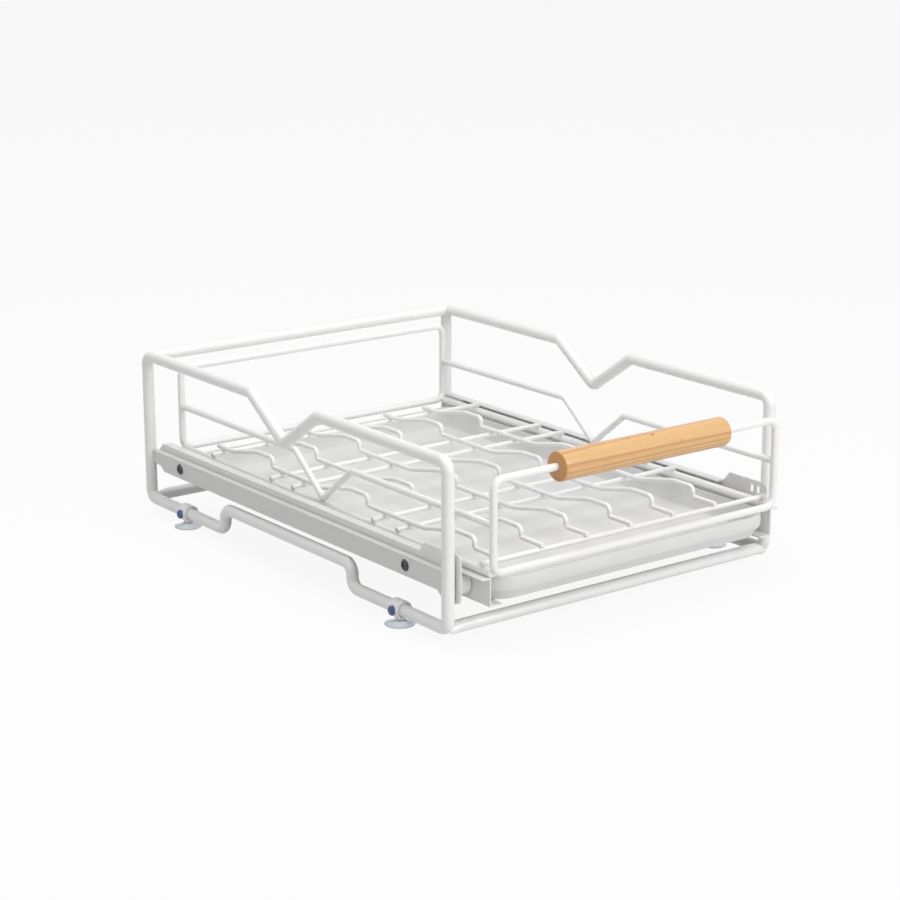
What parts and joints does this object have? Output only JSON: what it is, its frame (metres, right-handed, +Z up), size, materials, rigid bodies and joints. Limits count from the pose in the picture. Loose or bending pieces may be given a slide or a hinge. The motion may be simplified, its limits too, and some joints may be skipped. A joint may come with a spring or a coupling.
{
  "type": "pull-out bowl rack",
  "caption": "Wire bowl rack that pulls out on roller slides from a bent tube frame with suction feet, with a wooden handle sleeve and a drip tray below the divider wires.",
  "frame": {"origin": "on the floor, under the middle of the rack's outline with the drawer pulled out as pictured", "axes": "+X to the rack's right side, +Y to its rear, +Z up; the drawer pulls out along -Y"},
  "size_m": [0.3516, 0.4798, 0.1466],
  "materials": {
    "frame_tube": "satin white powder coat on bent steel tube",
    "drawer_wire": "satin white powder coat on steel wire",
    "slide_sheet": "satin white coat on folded sheet steel",
    "screw": "dark plated steel",
    "roller_pin": "zinc plated steel",
    "roller": "moulded nylon",
    "foot_clip": "moulded white plastic",
    "foot_button": "tinted soft vinyl",
    "suction_cup": "clear soft vinyl",
    "handle_wood": "pale turned wood, oiled",
    "tray_plastic": "moulded white plastic, satin"
  },
  "bodies": {
    "frame": {"left_side_loop": "frame_tube", "right_side_loop": "frame_tube", "rear_top_tube": "frame_tube", "rear_bottom_tube": "frame_tube", "front_bottom_tube": "frame_tube", "left_slide_strip": "slide_sheet", "right_slide_strip": "slide_sheet", "left_slide_channel": "slide_sheet", "right_slide_channel": "slide_sheet", "left_front_screw": "screw", "left_rear_screw": "screw", "right_front_screw": "screw", "right_rear_screw": "screw", "left_front_roller_pin": "roller_pin", "right_front_roller_pin": "roller_pin", "left_front_foot_clip": "foot_clip", "left_rear_foot_clip": "foot_clip", "right_front_foot_clip": "foot_clip", "right_rear_foot_clip": "foot_clip", "left_front_foot_button": "foot_button", "left_rear_foot_button": "foot_button", "right_front_foot_button": "foot_button", "right_rear_foot_button": "foot_button", "left_front_suction_cup": "suction_cup", "left_rear_suction_cup": "suction_cup", "right_front_suction_cup": "suction_cup", "right_rear_suction_cup": "suction_cup"},
    "drawer": {"drawer_front_loop": "drawer_wire", "drawer_rear_loop": "drawer_wire", "left_floor_wire": "drawer_wire", "right_floor_wire": "drawer_wire", "left_notch_wire": "drawer_wire", "right_notch_wire": "drawer_wire", "cross_wire_1": "drawer_wire", "cross_wire_2": "drawer_wire", "cross_wire_3": "drawer_wire", "cross_wire_4": "drawer_wire", "cross_wire_5": "drawer_wire", "cross_wire_6": "drawer_wire", "divider_wire_1": "drawer_wire", "divider_wire_2": "drawer_wire", "divider_wire_3": "drawer_wire", "divider_wire_4": "drawer_wire", "divider_wire_5": "drawer_wire", "divider_wire_6": "drawer_wire", "left_drawer_rail": "slide_sheet", "right_drawer_rail": "slide_sheet", "left_rear_roller_pin": "roller_pin", "right_rear_roller_pin": "roller_pin"},
    "left_front_wheel": {"left_front_roller": "roller"},
    "right_front_wheel": {"right_front_roller": "roller"},
    "left_rear_wheel": {"left_rear_roller": "roller"},
    "right_rear_wheel": {"right_rear_roller": "roller"},
    "handle": {"wood_handle": "handle_wood"},
    "tray": {"drip_tray": "tray_plastic"}
  },
  "joints": [
    {"name": "drawer_slide", "type": "slide", "parent": "frame", "child": "drawer", "axis": [0, -1, 0], "range_m": [-0.024, 0.3]},
    {"name": "tray_slide", "type": "slide", "parent": "drawer", "child": "tray", "axis": [0, -1, 0], "range_m": [0, 0.4]},
    {"name": "handle_spin", "type": "hinge", "parent": "drawer", "child": "handle", "pos_m": [0, -0.2282, 0.1312], "axis": [1, 0, 0], "continuous": true},
    {"name": "left_front_roller_spin", "type": "hinge", "parent": "frame", "child": "left_front_wheel", "pos_m": [-0.1506, -0.1966, 0.0459], "axis": [1, 0, 0], "range_deg": [-165, 1985]},
    {"name": "right_front_roller_spin", "type": "hinge", "parent": "frame", "child": "right_front_wheel", "pos_m": [0.1506, -0.1966, 0.0459], "axis": [1, 0, 0], "range_deg": [-165, 1985]},
    {"name": "left_rear_roller_spin", "type": "hinge", "parent": "drawer", "child": "left_rear_wheel", "pos_m": [-0.1511, 0.1952, 0.0516], "axis": [1, 0, 0], "range_deg": [-165, 1985]},
    {"name": "right_rear_roller_spin", "type": "hinge", "parent": "drawer", "child": "right_rear_wheel", "pos_m": [0.1511, 0.1952, 0.0516], "axis": [1, 0, 0], "range_deg": [-165, 1985]}
  ],
  "couplings": [
    {"joint": "left_front_roller_spin", "follows": "drawer_slide", "rad_per_m": 114.94},
    {"joint": "right_front_roller_spin", "follows": "drawer_slide", "rad_per_m": 114.94},
    {"joint": "left_rear_roller_spin", "follows": "drawer_slide", "rad_per_m": 114.94},
    {"joint": "right_rear_roller_spin", "follows": "drawer_slide", "rad_per_m": 114.94}
  ]
}
